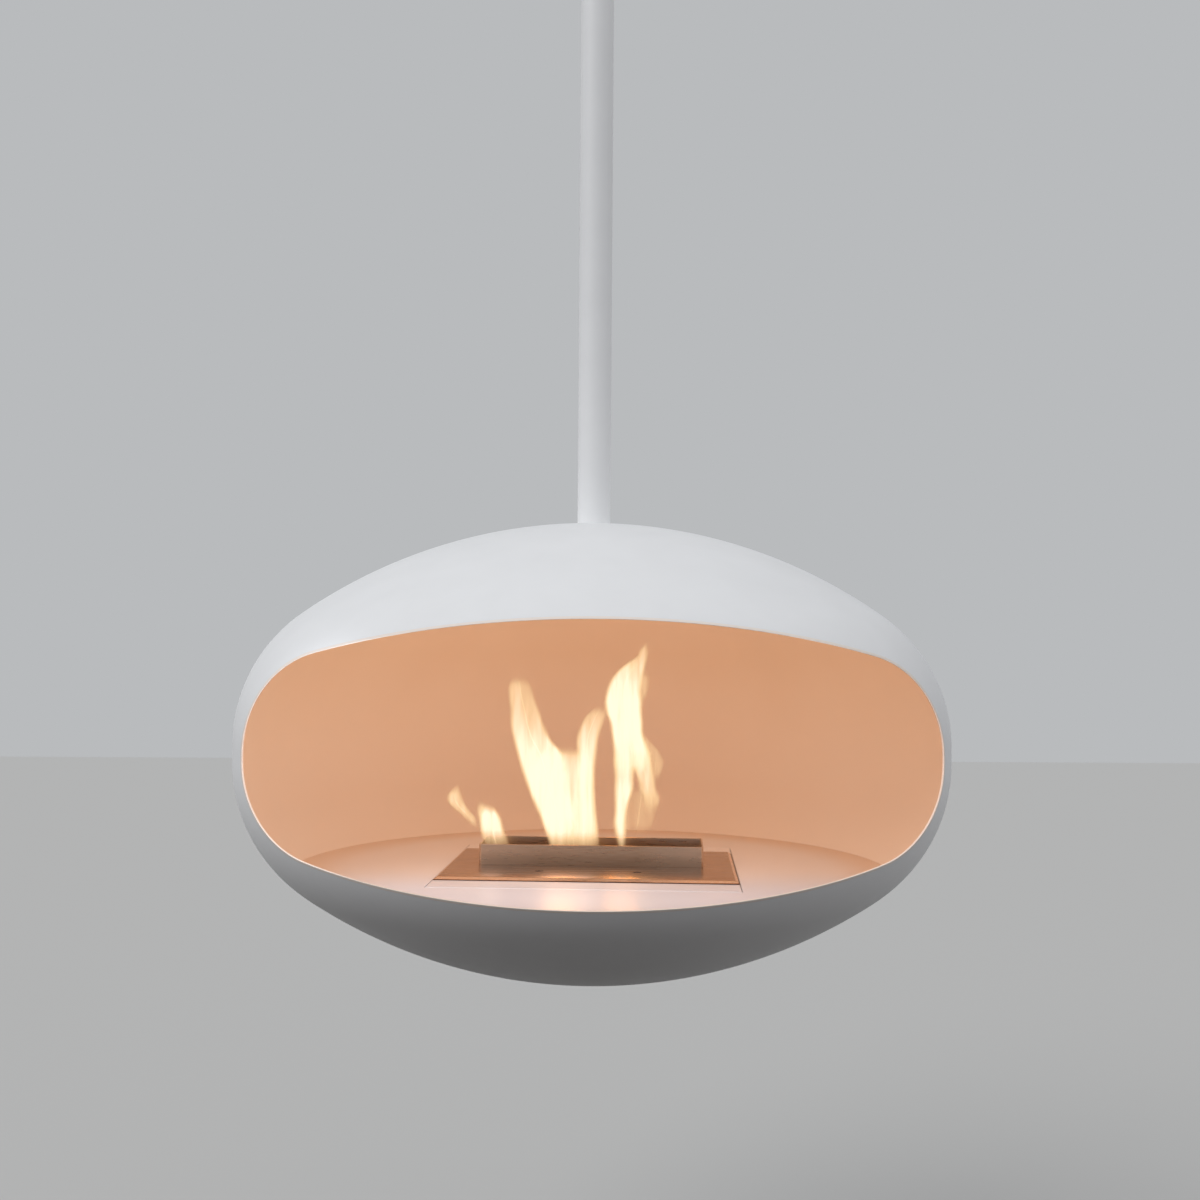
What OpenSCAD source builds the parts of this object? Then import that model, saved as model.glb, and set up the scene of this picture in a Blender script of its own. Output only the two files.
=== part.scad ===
// Ceiling-hung bioethanol fireplace: a lens-shaped steel pod on a pole that turns under the ceiling.
// Millimetres. The origin is the centre of the ceiling plate's top face, +Z is up and the pod's
// opening looks along -Y, so the whole fireplace hangs below the origin.

/* [Pod] */
// Outer diameter of the pod at its equator
pod_d = 900; // [860:10:1100]
// Height of the pod from its lowest point to its crown
pod_h = 578; // [550:2:700]
// Radius of the rounded shoulder between the side and the crown
shoulder_r = 198; // [170:1:215]
// Height of the straight band round the equator
band_h = 20; // [4:1:40]
// Thickness of the two outer shells
shell_t = 2; // [1.5:0.5:3]
// Thickness of the inner liner
liner_t = 1.2; // [1:0.1:2]
// Gap between the outer shells and the inner liner
skin_gap = 0.5; // [0.3:0.1:4]

/* [Opening] */
// Width of the opening
open_w = 808; // [600:2:840]
// Height of the opening above the equator
open_top = 158.5; // [140:0.5:190]
// Depth of the opening below the equator
open_bottom = 135; // [120:1:146]
// Radius of the opening's upper corners
open_top_r = 125; // [60:1:130]
// Radius of the opening's lower corners
open_bottom_r = 107; // [60:1:110]
// Width of the strip that closes the edge of the opening
rim_w = 3; // [2:0.5:6]

/* [Pole] */
// Outer diameter of the pole
pole_d = 42.4; // [38:0.1:51]
// Wall thickness of the pole
pole_t = 2; // [1.5:0.5:3]
// Length of the pole's tube
pole_len = 1120; // [300:10:2500]
// Depth of the plugs welded into the pole's two ends
plug_depth = 30; // [20:1:60]

/* [Ceiling mount] */
// Thickness of the ceiling plate
plate_t = 8; // [8:1:12]
// Diameter of the circle through the ceiling plate's bolt holes
bolt_pcd = 136; // [132:1:160]
// Distance from that circle to the ceiling plate's edge
bolt_edge = 17; // [14:1:24]
// Diameter of the bolt holes
bolt_hole_d = 11; // [9:0.5:13]
// Number of bolt holes
bolt_count = 4; // [3:1:6]
// Wall thickness of the bearing housing
housing_wall = 11; // [9:0.5:12]
// Width of the housing's flange
flange_w = 18; // [17:0.5:20]
// Thickness of the housing's flange and of its floor
flange_t = 8; // [6:1:12]
// Size of the screws that hold the housing under the plate
housing_screw_d = 8; // [6:1:8]
// Diameter of the swivel shaft
shaft_d = 24.8; // [20:0.2:30]
// Room between the ceiling plate and the ceiling cover
cover_room = 10.5; // [2:0.5:30]
// Height of the ceiling cover
cover_h = 84; // [80:1:110]
// Sheet thickness of the ceiling cover
cover_t = 1.5; // [1:0.5:3]

/* [Bearing] */
// Width of the bearing from its bore to its outside
bearing_w = 11.1; // [11:0.1:12]
// Thickness of each bearing race
race_t = 5; // [4:0.5:6]
// Diameter of the bearing balls
ball_d = 8; // [6:0.5:8]
// Number of balls
ball_count = 12; // [8:1:12]

/* [Floor] */
// Depth of the floor's top face below the equator
floor_drop = 152; // [148:1:170]
// Thickness of the floor plate and of the seat panel
floor_t = 2; // [1.5:0.5:4]
// Turn of the round floor and its burner about the pod's axis
floor_turn = -4; // [-10:1:10]
// Distance that the removable seat panel reaches in front of the burner's tray
seat_front = 52; // [20:1:70]
// Distance that the removable seat panel reaches behind the burner's tray
seat_behind = 60; // [20:1:70]
// Width of the fine seam round the seat panel
seam = 1; // [0.5:0.5:3]

/* [Burner] */
// Sheet thickness of the burner
sheet_t = 1.5; // [1:0.25:2]
// Width of the collar round the flame slot
collar_w = 287; // [200:1:340]
// Depth of the collar, front to back
collar_d = 85; // [60:1:110]
// Height of the collar
collar_h = 26; // [15:1:60]
// Wall thickness of the collar
collar_t = 2; // [1.5:0.5:3]
// Distance from the collar's ends to the side edges of the tray's flat top
collar_side = 35.5; // [34:0.5:50]
// Distance from the collar's back to the back edge of the tray's flat top
collar_behind = 59; // [30:1:70]
// Distance from the parked damper to the front edge of the tray's flat top
park_room = 15; // [14:1:40]
// Height of the tray's sloping edge
skirt_drop = 4; // [3:0.5:10]
// Run of the tray's sloping edge
skirt_run = 6; // [4:0.5:12]
// Diameter of the two lifting holes
lift_hole_d = 10; // [6:0.5:14]
// Distance between the two lifting holes
lift_hole_gap = 122; // [60:1:200]
// Distance from the tray's front edge to the lifting holes
lift_hole_inset = 49; // [30:1:70]
// Distance from the side edges of the tray's flat top to the fuel tank
tank_side = 16.5; // [6:0.5:18]
// Distance from the front and back edges of the tray's flat top to the fuel tank
tank_end = 8.5; // [6:0.5:9]
// Height of the fuel tank
tank_h = 75; // [50:1:85]
// Distance from the tank's wall to the seat panel's cut-out
tank_clearance = 5; // [2:0.5:6]

/* [Hidden] */

// Curves: smooth on the pod, plain on small turned pieces
big_fn = 180;
$fn = 64;
// Straight steps in each arc of the opening's outline
opening_steps = 16;
// A cut reaches this far past the face that it goes through
over = 1;

// Clearances
// Radial gap of pieces pressed or welded into each other
press_gap = 0.02;
// Radial gap between the shaft and its bush
running_gap = 0.1;
// Radial gap of pieces that slide along or round each other
slide_gap = 0.3;
// Gap above and below the sliding damper
damper_gap = 0.4;
// Gap under a piece that only rests on another
rest_gap = 0.3;
// Radial gap of a screw or stud in a clearance hole
hole_gap = 0.5;
// Radial gap of a turned plug that is welded into a tube
weld_gap = 0.1;

// Colours
paint = "#e9eaeb";
peach = "#dca57e";
pale_floor = "#e8d8d0";
stainless = "#a8998c";
bare_steel = "#8d9196";
brass_tone = "#b8924a";
wool_tone = "#d8d4c8";

// Heights inside the swivel, from the ceiling down
housing_room = 48;
housing_bottom = -plate_t - housing_room - flange_t;
bearing_seat = housing_bottom + flange_t;
ball_room = 5;
ball_z = bearing_seat + race_t + ball_room / 2;
upper_race_z = bearing_seat + race_t + ball_room;
swivel_washer_t = 3;
swivel_washer_z = upper_race_z + race_t;
nut_h = 19;
nut_wall = 5.6;
swivel_nut_z = swivel_washer_z + swivel_washer_t;
pin_d = 4;
pin_overhang = 6.6;
pin_len = shaft_d + 2 * pin_overhang;
pin_gap = 0.5;
pin_cover = 2.5;
pin_z = swivel_nut_z + nut_h + pin_gap + pin_d / 2;
shaft_top_z = pin_z + pin_d / 2 + pin_cover;

// Diameters inside the swivel
bearing_d = shaft_d + 2 * bearing_w;
race_relief = 1.1;
lower_race_bore_d = shaft_d + 2 * race_relief;
ball_pitch_r = (bearing_d + lower_race_bore_d) / 4;
groove_gap = 0.15;
groove_r = ball_d / 2 + groove_gap;
upper_race_d = bearing_d - 1;
swivel_washer_d = bearing_d - 3;
bush_wall = 4.5;
bush_d = shaft_d + 2 * bush_wall;
housing_bore_gap = 0.5;
housing_bore_d = bearing_d + 2 * housing_bore_gap;
housing_d = housing_bore_d + 2 * housing_wall;
flange_d = housing_d + 2 * flange_w;
housing_screw_count = 4;
housing_screw_r = (housing_d + flange_d) / 4;
housing_screw_grip = 6;
housing_screw_len = flange_t + housing_screw_grip;
plate_d = bolt_pcd + 2 * bolt_edge;

// The pole and its two turned ends
shoulder_t = 6;
shoulder_gap = 2;
pole_bore_d = pole_d - 2 * pole_t;
plug_d = pole_bore_d - 2 * weld_gap;
pole_top_z = housing_bottom - shoulder_gap - shoulder_t;
crown_z = pole_top_z - pole_len;
stud_d = 24;
stud_len = 52;
stud_hole_d = stud_d + 2 * hole_gap;

// The pod: its centre, its skins and the arcs of its outline
pod_z = crown_z - pod_h / 2;
pod_r = pod_d / 2;
half_h = pod_h / 2;
half_band = band_h / 2;
skin_t = shell_t + skin_gap + liner_t;

// Ceiling cover
cover_top_z = -2;
cover_d = plate_d + 2 * (cover_room + cover_t);
cover_round_r = 20;
cover_hole_r = pole_d / 2 + slide_gap;
cover_collar_wall = 8.5;
cover_collar_d = 2 * (cover_hole_r + cover_collar_wall);
cover_collar_z = cover_top_z - cover_h;
cover_collar_h = 14;
grub_d = 5;
grub_inset = 1;
grub_socket = 2;

// Crown fixing, from the inner liner down
clamp_d = 190;
clamp_t = 4;
clamp_gap = 0.3;
clamp_inset = skin_t + clamp_gap;
clamp_boss_drop = 18;
crown_washer_d = stud_d + 32;
clamp_boss_d = crown_washer_d + 8;
crown_washer_t = 4;
crown_washer_z = crown_z - clamp_boss_drop - crown_washer_t;
crown_nut_z = crown_washer_z - nut_h;
cap_t = 1.5;
cap_room = 5.5;
cap_h = stud_len - clamp_boss_drop + cap_room + cap_t;
cap_round_r = 12;

// Floor and what carries it, from the pod's centre
floor_z = -floor_drop;
floor_under_z = floor_z - floor_t;
floor_edge_gap = 0.5;
floor_r = pod_r_at(floor_under_z, skin_t) - floor_edge_gap;
floor_stud_d = 6;
floor_stud_len = 16;
floor_stud_inset = 30;
floor_stud_r = floor_r - floor_stud_inset;
floor_stud_angles = [45, 135, 225, 315];
bracket_w = 36;
bracket_t = 3;
bracket_nose = 20;
bracket_nose_h = 5;
bracket_run = 52;
bracket_drop = 72;
bracket_gap = 0.1;
floor_nut_wall = 2;
floor_nut_h = 5;
frame_t = 3;
frame_lap = 10;
frame_side = 14;

// Flame slot in the tray, and the damper that slides back under it from its place in front
slot_ledge = 2;
slot_w = collar_w - 2 * collar_t - 2 * slot_ledge;
slot_d = collar_d - 2 * collar_t - 2 * slot_ledge;
damper_side = 9;
damper_w = slot_w + 2 * damper_side;
lip_t = sheet_t;
lip_w = 80;
lip_h = 14;
lip_hole_d = 6;
lip_hole_drop = 5.6;
lip_front_gap = 1;
lip_back_gap = 0.5;
damper_travel = slot_d - lip_t - lip_front_gap - lip_back_gap;
damper_lap = 8;
damper_d = damper_travel + damper_lap;

// Burner, from the pod's centre, before the floor's turn
tray_w = collar_w + 2 * collar_side;
tray_d = collar_behind + collar_d + damper_d + park_room;
tray_z = floor_z + rest_gap + skirt_drop;
tray_under_z = tray_z - sheet_t;
tray_corner_r = 5;
skirt_notch = 3;
skirt_edge = 1;
collar_y = tray_d / 2 - collar_behind - collar_d / 2;
collar_corner_r = 4;
slot_front = collar_y - slot_d / 2;
lift_hole_y = lift_hole_inset - tray_d / 2;
damper_back = slot_front + lip_front_gap + lip_t;
damper_top_z = tray_under_z - damper_gap;
rail_t = 1.5;
rail_lip = 7;
rail_front = 4;
rail_behind = 2;
rail_top_z = damper_top_z - sheet_t - damper_gap;
rail_y = damper_back - damper_d - rail_front;
rail_len = rail_front + damper_d + damper_travel + rail_behind;

// Tank, and the wool and its perforated cover inside it
tank_w = tray_w - 2 * tank_side;
tank_d = tray_d - 2 * tank_end;
tank_floor_z = tray_under_z - tank_h;
tank_corner_r = 6;
wool_gap = 0.5;
wool_w = tank_w - 2 * sheet_t - 2 * wool_gap;
wool_d = tank_d - 2 * sheet_t - 2 * wool_gap;
wool_corner_r = tank_corner_r - sheet_t;
mesh_t = 1;
mesh_drop = 2;
mesh_z = rail_top_z - rail_t - mesh_drop - mesh_t;
mesh_slots = 10;
mesh_slot_w = 14;
mesh_slot_margin = 20;

// Seat panel in the floor, under the burner
seat_w = tray_w + 2 * skirt_run;
seat_d = tray_d + 2 * skirt_run + seat_front + seat_behind;
seat_y = (seat_behind - seat_front) / 2;

// Radius of the arc that joins two corner arcs of radius r over a half width a and a height c
function arc_r(a, c, r) = (a * a + c * c - 2 * a * r) / (2 * (c - r));

// Radius of the pod's outline at height z from its centre, moved inwards by inset
function pod_r_at(z, inset) =
    let(
        c = half_h - half_band,
        top_r = arc_r(pod_r, c, shoulder_r),
        top_z = half_h - top_r,
        shoulder_x = pod_r - shoulder_r,
        angle = atan2(half_band - top_z, shoulder_x),
        h = abs(z)
    )
    h <= half_band ? pod_r - inset
    : h <= top_z + (top_r - inset) * sin(angle)
        ? shoulder_x + sqrt(pow(shoulder_r - inset, 2) - pow(h - half_band, 2))
        : sqrt(pow(top_r - inset, 2) - pow(h - top_z, 2));

// A dished outline above z = 0, in three parts that meet on straight lines: a flat arc over the
// middle, a corner arc at each side and a straight band under them. top_r is the flat arc's radius.
function dished_top_r(a, rise, r, band) = arc_r(a, rise - band, r);
function dished_angle(a, rise, r, band) =
    atan2(band - rise + dished_top_r(a, rise, r, band), a - r);

// Far point of the straight line on which the two arcs meet, from the corner's centre
function dished_reach(rise, angle) = [2 * rise * cos(angle), 2 * rise * sin(angle)];

// The region in which the flat arc lies, from the corner's centre
module flat_arc_region(a, rise, r, band) {
    far = dished_reach(rise, dished_angle(a, rise, r, band));
    polygon([[r - a, 0], [0, 0], far, [r - a, far[1]]]);
}

// The wedge in which the corner arc lies, from the corner's centre
module corner_arc_region(a, rise, r, band) {
    far = dished_reach(rise, dished_angle(a, rise, r, band));
    polygon([[0, 0], [2 * rise, 0], [2 * rise, 2 * rise], far]);
}

// Quarter of a dished wall, between two insets from the outline. An inset below 0 lies outside it.
module dished_wall(a, rise, r, band, outer, inner) {
    top_r = dished_top_r(a, rise, r, band);
    intersection() {
        translate([0, rise - top_r])
            difference() {
                circle(top_r - outer);
                circle(top_r - inner);
            }
        translate([a - r, band]) flat_arc_region(a, rise, r, band);
    }
    translate([a - r, band])
        intersection() {
            difference() {
                circle(r - outer);
                circle(r - inner);
            }
            corner_arc_region(a, rise, r, band);
        }
    translate([a - inner, 0]) square([inner - outer, band]);
}

// Upper half of a skin of the pod, between two insets
module upper_skin(outer, inner) {
    rotate_extrude($fn = big_fn)
        dished_wall(pod_r, half_h, shoulder_r, half_band, outer, inner);
}

// Points along half of the opening's outline, from right to left over the top: a corner arc, the
// flat arc that is tangent to it and the other corner arc
function opening_points(a, rise, r) =
    let(
        top_r = arc_r(a, rise, r),
        top_z = rise - top_r,
        angle = atan2(-top_z, a - r),
        last = opening_steps
    )
    concat(
        [for (i = [0 : last]) let(t = angle * i / last) [a - r + r * cos(t), r * sin(t)]],
        [for (i = [1 : last - 1])
            let(t = angle + (180 - 2 * angle) * i / last) [top_r * cos(t), top_z + top_r * sin(t)]],
        [for (i = [0 : last]) let(t = 180 - angle + angle * i / last) [r - a + r * cos(t), r * sin(t)]]
    );

// Half of the opening widened by grow, as a prism that runs out through the front
module opening_prism(rise, r, grow) {
    half_w = open_w / 2 + grow;
    rotate([90, 0, 0])
        linear_extrude(pod_r + over)
            polygon(concat(
                opening_points(half_w, rise + grow, r + grow),
                [[-half_w, -over], [half_w, -over]]
            ));
}

// One half of a skin with the opening cut out of it, seen as the upper half
module open_skin(outer, inner, rise, r) {
    difference() {
        upper_skin(outer, inner);
        opening_prism(rise, r, rim_w);
    }
}

// One half of the strip round the opening, seen as the upper half
module rim_half(rise, r) {
    difference() {
        intersection() {
            upper_skin(0, skin_t);
            opening_prism(rise, r, rim_w);
        }
        opening_prism(rise, r, 0);
    }
}

// The lower half of the pod is made as an upper half and turned over, front to front
module turned_over() {
    rotate([0, 180, 0]) children();
}

// Rectangle with rounded corners, centred
module rounded_plate(w, d, r) {
    square([w, d - 2 * r], center = true);
    square([w - 2 * r, d], center = true);
    for (x = [-1, 1], y = [-1, 1])
        translate([x * (w / 2 - r), y * (d / 2 - r)]) circle(r);
}

module ring(outer_d, inner_d, h) {
    difference() {
        cylinder(d = outer_d, h = h);
        translate([0, 0, -over]) cylinder(d = inner_d, h = h + 2 * over);
    }
}

module hex_nut(thread_d, wall, h) {
    across_flats = thread_d + 2 * wall;
    bore_d = thread_d + 2 * press_gap;
    difference() {
        cylinder(d = across_flats / cos(30), h = h, $fn = 6);
        translate([0, 0, -over]) cylinder(d = bore_d, h = h + 2 * over);
    }
}

// Round the ceiling plate's or the housing's screws
module around(count, r) {
    for (i = [0 : count - 1])
        rotate([0, 0, (i + 0.5) * 360 / count]) translate([r, 0, 0]) children();
}

module in_pod() {
    translate([0, 0, pod_z]) children();
}

module in_floor() {
    in_pod() rotate([0, 0, floor_turn]) children();
}

// Ceiling mount
module ceiling_plate() {
    color(bare_steel)
        difference() {
            translate([0, 0, -plate_t]) cylinder(d = plate_d, h = plate_t);
            around(bolt_count, bolt_pcd / 2)
                translate([0, 0, -plate_t - over]) cylinder(d = bolt_hole_d, h = plate_t + 2 * over);
            around(housing_screw_count, housing_screw_r)
                translate([0, 0, -plate_t - over])
                    cylinder(d = housing_screw_d + 2 * press_gap, h = plate_t);
        }
}

module swivel_housing() {
    color(bare_steel)
        difference() {
            union() {
                translate([0, 0, housing_bottom]) cylinder(d = housing_d, h = -plate_t - housing_bottom);
                translate([0, 0, -plate_t - flange_t]) cylinder(d = flange_d, h = flange_t);
            }
            translate([0, 0, bearing_seat]) cylinder(d = housing_bore_d, h = housing_room + over);
            translate([0, 0, housing_bottom - over]) cylinder(d = bush_d, h = flange_t + 2 * over);
            around(housing_screw_count, housing_screw_r)
                translate([0, 0, -plate_t - flange_t - over])
                    cylinder(d = housing_screw_d + 2 * hole_gap, h = flange_t + 2 * over);
        }
}

module housing_screws() {
    head_d = 1.5 * housing_screw_d;
    head_h = 0.7 * housing_screw_d;
    color(bare_steel)
        around(housing_screw_count, housing_screw_r) {
            translate([0, 0, -plate_t - flange_t]) cylinder(d = housing_screw_d, h = housing_screw_len);
            difference() {
                translate([0, 0, -plate_t - flange_t - head_h]) cylinder(d = head_d, h = head_h);
                translate([0, 0, -plate_t - flange_t - head_h - over])
                    cylinder(d = housing_screw_d * 0.8, h = head_h * 0.6 + over, $fn = 6);
            }
        }
}

module guide_bush() {
    color(brass_tone)
        translate([0, 0, housing_bottom])
            ring(bush_d - 2 * press_gap, shaft_d + 2 * running_gap, flange_t);
}

module bearing_race(outer_d, inner_d, z) {
    difference() {
        translate([0, 0, z]) ring(outer_d, inner_d, race_t);
        translate([0, 0, ball_z]) rotate_extrude() translate([ball_pitch_r, 0]) circle(groove_r);
    }
}

module bearing_lower_race() {
    color("silver") bearing_race(bearing_d, lower_race_bore_d, bearing_seat);
}

module bearing_upper_race() {
    color("silver") bearing_race(upper_race_d, shaft_d + 2 * press_gap, upper_race_z);
}

module bearing_balls() {
    color("gainsboro")
        around(ball_count, ball_pitch_r) translate([0, 0, ball_z]) sphere(d = ball_d);
}

module bearing_cage() {
    cage_t = 1.6;
    cage_w = 10.4;
    color(brass_tone)
        difference() {
            translate([0, 0, ball_z - cage_t / 2])
                ring(2 * ball_pitch_r + cage_w, 2 * ball_pitch_r - cage_w, cage_t);
            around(ball_count, ball_pitch_r)
                translate([0, 0, ball_z - cage_t]) cylinder(r = groove_r, h = 2 * cage_t);
        }
}

module swivel_shaft() {
    color(bare_steel)
        difference() {
            union() {
                translate([0, 0, pole_top_z - plug_depth]) cylinder(d = plug_d, h = plug_depth);
                translate([0, 0, pole_top_z]) cylinder(d = pole_d, h = shoulder_t);
                translate([0, 0, pole_top_z]) cylinder(d = shaft_d, h = shaft_top_z - pole_top_z);
            }
            translate([-pin_len, 0, pin_z]) rotate([0, 90, 0])
                cylinder(d = pin_d + 2 * press_gap, h = 2 * pin_len);
        }
}

module swivel_washer() {
    color("silver")
        translate([0, 0, swivel_washer_z]) ring(swivel_washer_d, shaft_d + 2 * running_gap, swivel_washer_t);
}

module swivel_nut() {
    color(bare_steel)
        translate([0, 0, swivel_nut_z]) hex_nut(shaft_d, nut_wall, nut_h);
}

module locking_pin() {
    color("silver")
        translate([-pin_len / 2, 0, pin_z]) rotate([0, 90, 0]) cylinder(d = pin_d, h = pin_len);
}

// Section of a turned cup with a rounded edge, from its open end up
module cup_quarter(r, h, round_r) {
    square([r - round_r, h]);
    square([r, h - round_r]);
    translate([r - round_r, h - round_r]) circle(round_r);
}

// Cover under the ceiling
module ceiling_cover() {
    color(paint)
        translate([0, 0, cover_top_z]) rotate([180, 0, 0])
            rotate_extrude($fn = big_fn)
                difference() {
                    cup_quarter(cover_d / 2, cover_h, cover_round_r);
                    translate([0, -over]) square([cover_d / 2 - cover_t, over + cover_round_r]);
                    cup_quarter(cover_d / 2 - cover_t, cover_h - cover_t, cover_round_r - cover_t);
                    square([cover_hole_r, cover_h + over]);
                }
}

module cover_collar() {
    color(paint)
        difference() {
            translate([0, 0, cover_collar_z - cover_collar_h])
                ring(cover_collar_d, 2 * cover_hole_r, cover_collar_h);
            translate([0, 0, cover_collar_z - cover_collar_h / 2]) rotate([0, 90, 0])
                cylinder(d = grub_d + 2 * press_gap, h = cover_collar_d);
        }
}

module collar_screw() {
    screw_len = cover_collar_wall - grub_inset;
    color(bare_steel)
        translate([cover_hole_r, 0, cover_collar_z - cover_collar_h / 2]) rotate([0, 90, 0])
            difference() {
                cylinder(d = grub_d, h = screw_len);
                translate([0, 0, screw_len - grub_socket])
                    cylinder(d = grub_d / 2, h = grub_socket + over, $fn = 6);
            }
}

// Pole and its foot
module pole() {
    color(paint)
        translate([0, 0, crown_z]) ring(pole_d, pole_bore_d, pole_len, $fn = big_fn);
}

module pole_foot() {
    color(bare_steel) {
        translate([0, 0, crown_z]) cylinder(d = plug_d, h = plug_depth);
        translate([0, 0, crown_z - stud_len]) cylinder(d = stud_d, h = stud_len + over);
    }
}

// Pod
module crown_hole() {
    translate([0, 0, half_h - clamp_boss_drop - over])
        cylinder(d = stud_hole_d, h = clamp_boss_drop + 2 * over);
}

module upper_shell() {
    color(paint)
        in_pod()
            difference() {
                open_skin(0, shell_t, open_top, open_top_r);
                crown_hole();
            }
}

module lower_shell() {
    color(paint)
        in_pod() turned_over() open_skin(0, shell_t, open_bottom, open_bottom_r);
}

module liner_upper() {
    color(peach)
        in_pod()
            difference() {
                open_skin(shell_t + skin_gap, skin_t, open_top, open_top_r);
                crown_hole();
            }
}

module liner_lower() {
    color(peach)
        in_pod() turned_over() open_skin(shell_t + skin_gap, skin_t, open_bottom, open_bottom_r);
}

module opening_rim() {
    color(paint)
        in_pod() {
            rim_half(open_top, open_top_r);
            turned_over() rim_half(open_bottom, open_bottom_r);
        }
}

// Crown fixing
module crown_clamp() {
    color(bare_steel)
        in_pod()
            difference() {
                union() {
                    intersection() {
                        upper_skin(clamp_inset, clamp_inset + clamp_t);
                        cylinder(d = clamp_d, h = half_h);
                    }
                    translate([0, 0, half_h - clamp_boss_drop])
                        cylinder(d = clamp_boss_d, h = clamp_boss_drop - clamp_inset - clamp_t / 2);
                }
                crown_hole();
            }
}

module crown_washer() {
    color("silver")
        translate([0, 0, crown_washer_z]) ring(crown_washer_d, stud_hole_d, crown_washer_t);
}

module crown_nut() {
    color(bare_steel)
        translate([0, 0, crown_nut_z]) hex_nut(stud_d, nut_wall, nut_h);
}

module crown_cap() {
    inner_r = crown_washer_d / 2 + press_gap;
    color(peach)
        translate([0, 0, crown_washer_z + crown_washer_t]) rotate([180, 0, 0])
            rotate_extrude()
                difference() {
                    cup_quarter(inner_r + cap_t, cap_h, cap_round_r);
                    translate([0, -over]) square([inner_r, over + cap_round_r]);
                    cup_quarter(inner_r, cap_h - cap_t, cap_round_r - cap_t);
                }
}

// Floor
module at_studs() {
    for (angle = floor_stud_angles)
        rotate([0, 0, angle]) translate([floor_stud_r, 0, 0]) children();
}

module floor_plate() {
    color(pale_floor)
        in_floor() {
            difference() {
                translate([0, 0, floor_under_z]) cylinder(r = floor_r, h = floor_t, $fn = big_fn);
                translate([-seat_w / 2 - seam, seat_y - seat_d / 2 - seam, floor_under_z - over])
                    cube([seat_w + 2 * seam, seat_d + 2 * seam, floor_t + 2 * over]);
            }
            at_studs() translate([0, 0, floor_under_z - floor_stud_len])
                cylinder(d = floor_stud_d, h = floor_stud_len + floor_t / 2);
        }
}

module floor_brackets() {
    color(bare_steel)
        in_pod()
            difference() {
                rotate([0, 0, floor_turn]) at_studs()
                    difference() {
                        union() {
                            translate([-bracket_nose, -bracket_w / 2, floor_under_z - bracket_t])
                                cube([bracket_run + bracket_nose, bracket_w, bracket_t]);
                            for (side = [-1, 1])
                                translate([0, side * (bracket_w - bracket_t) / 2, floor_under_z])
                                    rotate([90, 0, 0])
                                        linear_extrude(bracket_t, center = true)
                                            polygon([
                                                [-bracket_nose, -bracket_nose_h],
                                                [-bracket_nose, -bracket_t / 2],
                                                [bracket_run, -bracket_t / 2],
                                                [bracket_run, -bracket_drop]
                                            ]);
                        }
                        translate([0, 0, floor_under_z - bracket_t - over])
                            cylinder(d = floor_stud_d + 2 * hole_gap, h = bracket_t + 2 * over);
                    }
                rotate([180, 0, 0]) upper_skin(-2 * bracket_run, skin_t + bracket_gap);
            }
}

module floor_nuts() {
    color("silver")
        in_floor() at_studs()
            translate([0, 0, floor_under_z - bracket_t - floor_nut_h])
                hex_nut(floor_stud_d, floor_nut_wall, floor_nut_h);
}

module seat_frame() {
    color(bare_steel)
        in_floor()
            translate([0, seat_y, floor_under_z - frame_t])
                linear_extrude(frame_t)
                    difference() {
                        square([seat_w + 2 * frame_side, seat_d + 2 * frame_side], center = true);
                        square([seat_w - 2 * frame_lap, seat_d - 2 * frame_lap], center = true);
                    }
}

module seat_panel() {
    color(pale_floor)
        in_floor()
            translate([0, 0, floor_under_z])
                linear_extrude(floor_t)
                    difference() {
                        translate([0, seat_y]) square([seat_w, seat_d], center = true);
                        square([tank_w + 2 * tank_clearance, tank_d + 2 * tank_clearance], center = true);
                    }
}

// Burner
module burner_tank() {
    color(stainless)
        in_floor()
            translate([0, 0, tank_floor_z])
                difference() {
                    linear_extrude(tank_h) rounded_plate(tank_w, tank_d, tank_corner_r);
                    translate([0, 0, sheet_t])
                        linear_extrude(tank_h)
                            rounded_plate(tank_w - 2 * sheet_t, tank_d - 2 * sheet_t, wool_corner_r);
                }
}

// One folded edge of the tray, along X, sloping down and away from the flat top
module skirt(length) {
    rotate([90, 0, 90])
        linear_extrude(length, center = true)
            polygon([
                [0, 0],
                [-skirt_run, -skirt_drop + skirt_edge],
                [-skirt_run, -skirt_drop],
                [skirt_edge - skirt_run, -skirt_drop],
                [0, -sheet_t]
            ]);
}

module burner_tray() {
    color(stainless)
        in_floor()
            translate([0, 0, tray_z]) {
                difference() {
                    translate([0, 0, -sheet_t]) linear_extrude(sheet_t)
                        rounded_plate(tray_w, tray_d, tray_corner_r);
                    translate([-slot_w / 2, slot_front, -sheet_t - over])
                        cube([slot_w, slot_d, sheet_t + 2 * over]);
                    for (side = [-1, 1])
                        translate([side * lift_hole_gap / 2, lift_hole_y, -sheet_t - over])
                            cylinder(d = lift_hole_d, h = sheet_t + 2 * over);
                }
                for (side = [0, 180])
                    rotate([0, 0, side]) translate([0, -tray_d / 2, 0])
                        skirt(tray_w - 2 * skirt_notch - 2 * tray_corner_r);
                for (side = [90, 270])
                    rotate([0, 0, side]) translate([0, -tray_w / 2, 0])
                        skirt(tray_d - 2 * skirt_notch - 2 * tray_corner_r);
            }
}

module burner_collar() {
    color(stainless)
        in_floor()
            translate([0, collar_y, tray_z])
                linear_extrude(collar_h)
                    difference() {
                        rounded_plate(collar_w, collar_d, collar_corner_r);
                        rounded_plate(
                            collar_w - 2 * collar_t, collar_d - 2 * collar_t, collar_corner_r - collar_t
                        );
                    }
}

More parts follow.
